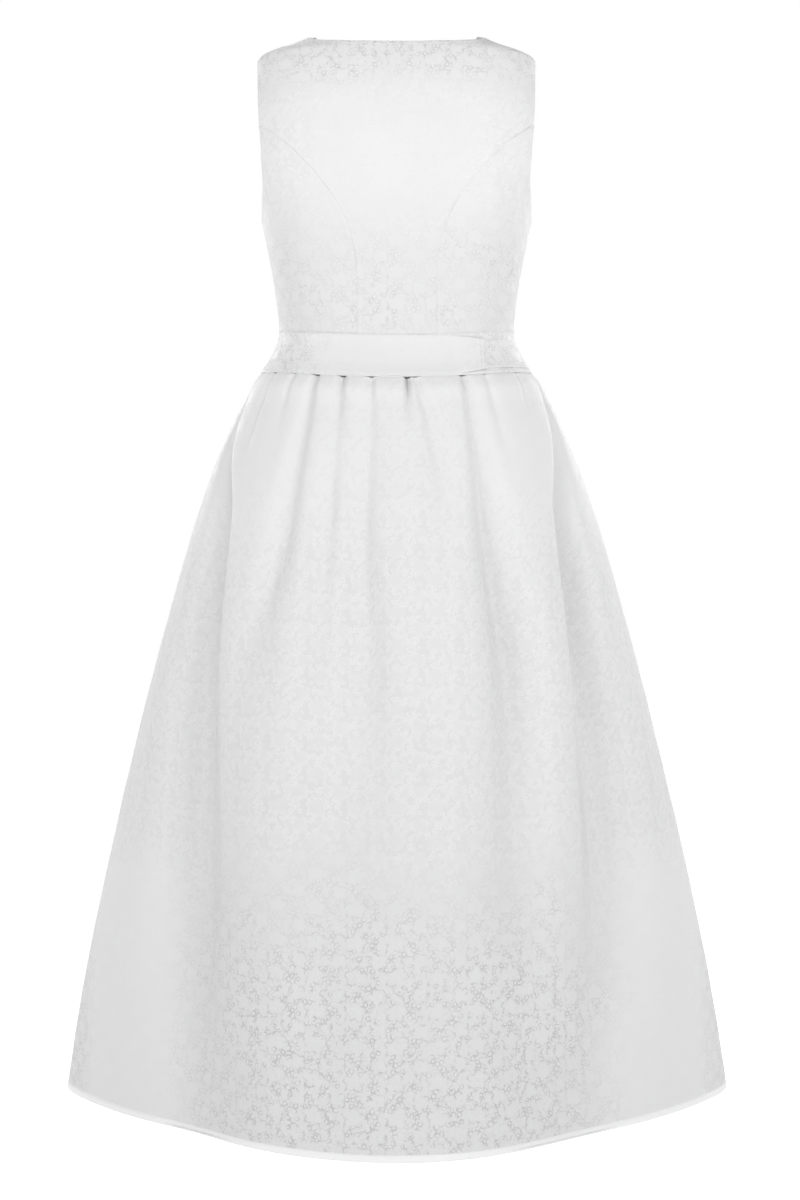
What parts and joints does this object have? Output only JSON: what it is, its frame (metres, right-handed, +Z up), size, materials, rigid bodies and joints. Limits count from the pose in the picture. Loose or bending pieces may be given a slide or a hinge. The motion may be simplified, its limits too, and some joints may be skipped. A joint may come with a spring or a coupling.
{
  "type": "maternity dirndl",
  "caption": "White sleeveless maternity dirndl: fitted princess-seamed bodice, raised waistband with a back belt, and a long full gathered skirt with a bound hem, hollow as worn",
  "frame": {"origin": "where the wearer's shoulders hold the dress: midway between the middles of the two shoulder seams", "axes": "+Z up along the length of the dress, the front of the dress faces -Y, the wearer's left is +X"},
  "size_m": [0.7912, 0.679, 1.2583],
  "materials": {
    "white_jacquard": "white tone-on-tone floral jacquard, softly lustrous flowers on a matt ground",
    "hem_binding": "narrow plain white satin-weave binding, softly lustrous"
  },
  "bodies": {
    "root": {"back_centre": "white_jacquard", "back_side_left": "white_jacquard", "back_side_right": "white_jacquard", "front_centre_left": "white_jacquard", "front_centre_right": "white_jacquard", "front_side_left": "white_jacquard", "front_side_right": "white_jacquard", "band_back": "white_jacquard", "band_front_left": "white_jacquard", "band_front_right": "white_jacquard", "belt_long": "white_jacquard", "belt_short": "white_jacquard", "skirt_back": "white_jacquard", "skirt_front": "white_jacquard", "hem_binding_back": "hem_binding", "hem_binding_front": "hem_binding"}
  },
  "joints": []
}
